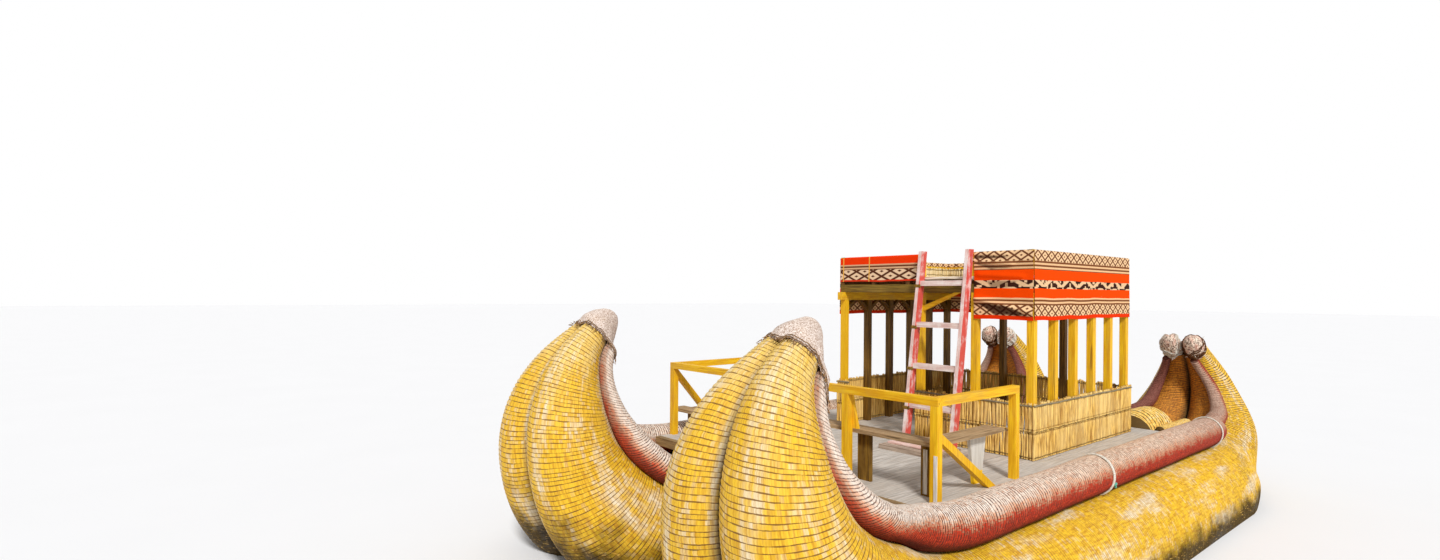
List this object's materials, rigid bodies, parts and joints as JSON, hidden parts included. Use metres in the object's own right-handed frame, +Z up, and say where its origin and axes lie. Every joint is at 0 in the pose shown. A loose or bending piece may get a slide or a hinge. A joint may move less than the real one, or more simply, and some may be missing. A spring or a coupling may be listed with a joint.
{
  "type": "reed boat",
  "caption": "Twin-hulled reed boat with peaked ends, plank deck, timber railing and cabin with an upper deck, reed-mat walls, woven cloths and a ladder.",
  "frame": {"origin": "on the waterline, midway between the hulls, at deck amidships", "axes": "+Z up, +Y towards the stern, +X towards port"},
  "size_m": [5.1078, 9.7741, 3.6879],
  "materials": {
    "reed_bundle": "golden dry reed, tightly wound with thin cord, faded white in patches",
    "reed_roll": "reed roll wound with cord, painted red, faded pink and white on top",
    "reed_filling": "pale straw-coloured reed, bound with dark cord",
    "sackcloth": "coarse beige woven sack, weathered",
    "knob_lashing": "reed end wrapped in cord and faded cloth",
    "weathered_plank": "grey weathered boards",
    "bare_timber": "dark bare timber",
    "pale_board": "pale dry boards",
    "yellow_timber": "squared timber, brushed yellow paint",
    "ladder_paint": "red paint worn to pink and white",
    "reed_mat": "upright dry reeds stitched into a mat",
    "woven_cloth": "woven wool with stripes and diamonds"
  },
  "bodies": {
    "root": {"bench_front": "weathered_plank", "bench_legs": "bare_timber", "bench_port": "weathered_plank", "bench_starboard": "weathered_plank", "bow_cap_port": "sackcloth", "bow_cap_starboard": "sackcloth", "bundle_port_inner": "reed_bundle", "bundle_port_outer": "reed_bundle", "bundle_starboard_inner": "reed_bundle", "bundle_starboard_outer": "reed_bundle", "cabin_posts_back": "yellow_timber", "cabin_posts_front": "yellow_timber", "cabin_posts_port": "yellow_timber", "cabin_posts_starboard": "yellow_timber", "cloth_back": "woven_cloth", "cloth_front_port": "woven_cloth", "cloth_front_starboard": "woven_cloth", "cloth_port": "woven_cloth", "cloth_starboard": "woven_cloth", "cross_beams": "bare_timber", "cross_poles": "weathered_plank", "deck_front_beam": "weathered_plank", "deck_planks": "weathered_plank", "entrance_brace": "yellow_timber", "floor_battens": "bare_timber", "floor_boards": "pale_board", "foot_board": "weathered_plank", "gunwale_roll_port_inner": "reed_roll", "gunwale_roll_port_outer": "reed_roll", "gunwale_roll_starboard_inner": "reed_roll", "gunwale_roll_starboard_outer": "reed_roll", "heart_bundle_port": "reed_filling", "heart_bundle_starboard": "reed_filling", "knee_braces_port": "yellow_timber", "knee_braces_starboard": "yellow_timber", "ladder_rails": "ladder_paint", "ladder_rungs": "ladder_paint", "ladder_sill": "pale_board", "parapet_mat_ends": "reed_mat", "parapet_mat_sides": "reed_mat", "parapet_posts": "yellow_timber", "parapet_rail_ends": "yellow_timber", "parapet_rail_sides": "yellow_timber", "rail_braces": "yellow_timber", "rail_posts": "yellow_timber", "rail_top_front": "yellow_timber", "rail_top_port": "yellow_timber", "rail_top_starboard": "yellow_timber", "reed_wall_back": "reed_mat", "reed_wall_front": "reed_mat", "reed_wall_port": "reed_mat", "reed_wall_starboard": "reed_mat", "side_fill_port": "reed_filling", "side_fill_starboard": "reed_filling", "side_plates": "yellow_timber", "stern_fill_port": "reed_filling", "stern_fill_starboard": "reed_filling", "stern_knobs_port": "knob_lashing", "stern_knobs_starboard": "knob_lashing"}
  },
  "joints": []
}
